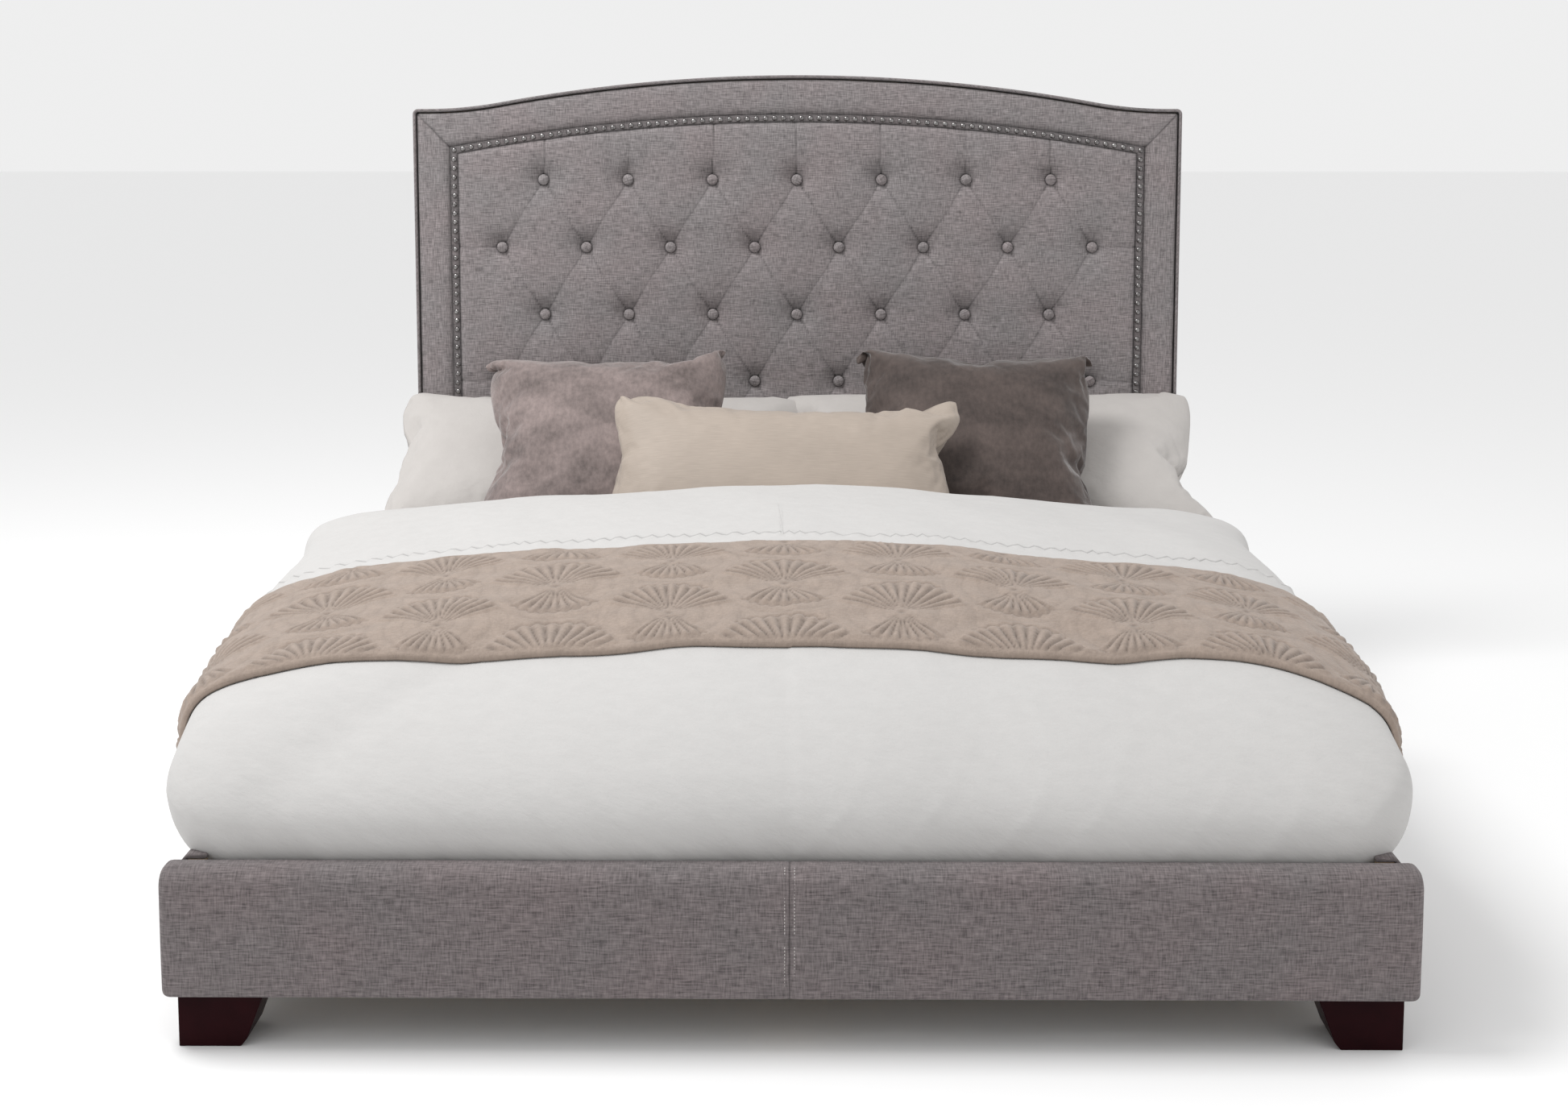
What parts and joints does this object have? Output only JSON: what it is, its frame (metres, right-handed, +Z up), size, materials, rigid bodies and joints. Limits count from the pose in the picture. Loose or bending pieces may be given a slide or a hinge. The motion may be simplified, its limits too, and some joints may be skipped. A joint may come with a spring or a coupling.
{
  "type": "upholstered bed",
  "caption": "Bed with an arched, button-tufted, nail-trimmed linen headboard, low padded rails, wood legs, slats, mattress and made-up bedding.",
  "frame": {"origin": "on the floor, under the centre of the whole bed", "axes": "+Z up, +Y from the footboard to the headboard, +X to the right seen from the foot"},
  "size_m": [1.756, 2.235, 1.32],
  "materials": {
    "grey_linen": "slubby linen-look weave, matt",
    "dust_cover": "thin black non-woven cloth",
    "nickel": "aged nickel, polished domes",
    "plywood": "raw sanded birch plywood",
    "pine": "raw planed pine",
    "espresso_wood": "dark espresso stain, satin lacquer",
    "zinc_steel": "bright zinc plate",
    "glide_plastic": "moulded black nylon",
    "mattress_ticking": "quilted knit ticking",
    "white_cotton": "plain percale, matt",
    "runner_fabric": "quilted cotton with stitched fans, soft sheen",
    "taupe_velvet": "short-pile velvet with brushed patches",
    "champagne_fabric": "faux silk, soft sheen"
  },
  "bodies": {
    "bed": {"bed_runner": "runner_fabric", "centre_beam": "pine", "centre_leg_1": "pine", "centre_leg_2": "pine", "centre_leg_3": "pine", "corner_bracket_foot_left": "zinc_steel", "corner_bracket_foot_right": "zinc_steel", "corner_bracket_head_left": "zinc_steel", "corner_bracket_head_right": "zinc_steel", "duvet": "white_cotton", "footboard_board": "plywood", "footboard_leg_left": "espresso_wood", "footboard_leg_right": "espresso_wood", "footboard_upholstery": "grey_linen", "headboard_back_cover": "dust_cover", "headboard_border_left": "grey_linen", "headboard_border_right": "grey_linen", "headboard_border_top": "grey_linen", "headboard_button_row_1": "grey_linen", "headboard_button_row_2": "grey_linen", "headboard_button_row_3": "grey_linen", "headboard_button_row_4": "grey_linen", "headboard_button_row_5": "grey_linen", "headboard_cross_rail_bottom": "pine", "headboard_cross_rail_top": "pine", "headboard_edge_band": "grey_linen", "headboard_lower_pad": "grey_linen", "headboard_nail_strip": "nickel", "headboard_panel": "plywood", "headboard_post_left": "pine", "headboard_post_right": "pine", "headboard_tufted_pad": "grey_linen", "headboard_welt": "grey_linen", "lumbar_pillow": "champagne_fabric", "mattress": "mattress_ticking", "rail_bolt_foot_left": "zinc_steel", "rail_bolt_foot_right": "zinc_steel", "rail_bolt_head_left": "zinc_steel", "rail_bolt_head_right": "zinc_steel", "side_rail_board_left": "plywood", "side_rail_board_right": "plywood", "side_rail_upholstery_left": "grey_linen", "side_rail_upholstery_right": "grey_linen", "slat_1": "pine", "slat_2": "pine", "slat_3": "pine", "slat_4": "pine", "slat_5": "pine", "slat_6": "pine", "slat_7": "pine", "slat_8": "pine", "slat_ledger_left": "pine", "slat_ledger_right": "pine", "sleeping_pillow_left": "white_cotton", "sleeping_pillow_right": "white_cotton", "velvet_cushion_left": "taupe_velvet", "velvet_cushion_right": "taupe_velvet"},
    "foot_1": {"levelling_foot_1": "glide_plastic"},
    "foot_2": {"levelling_foot_2": "glide_plastic"},
    "foot_3": {"levelling_foot_3": "glide_plastic"}
  },
  "joints": [
    {"name": "levelling_foot_1_screw", "type": "slide", "parent": "bed", "child": "foot_1", "axis": [0, 0, 1], "range_m": [0, 0.012]},
    {"name": "levelling_foot_2_screw", "type": "slide", "parent": "bed", "child": "foot_2", "axis": [0, 0, 1], "range_m": [0, 0.012]},
    {"name": "levelling_foot_3_screw", "type": "slide", "parent": "bed", "child": "foot_3", "axis": [0, 0, 1], "range_m": [0, 0.012]}
  ]
}
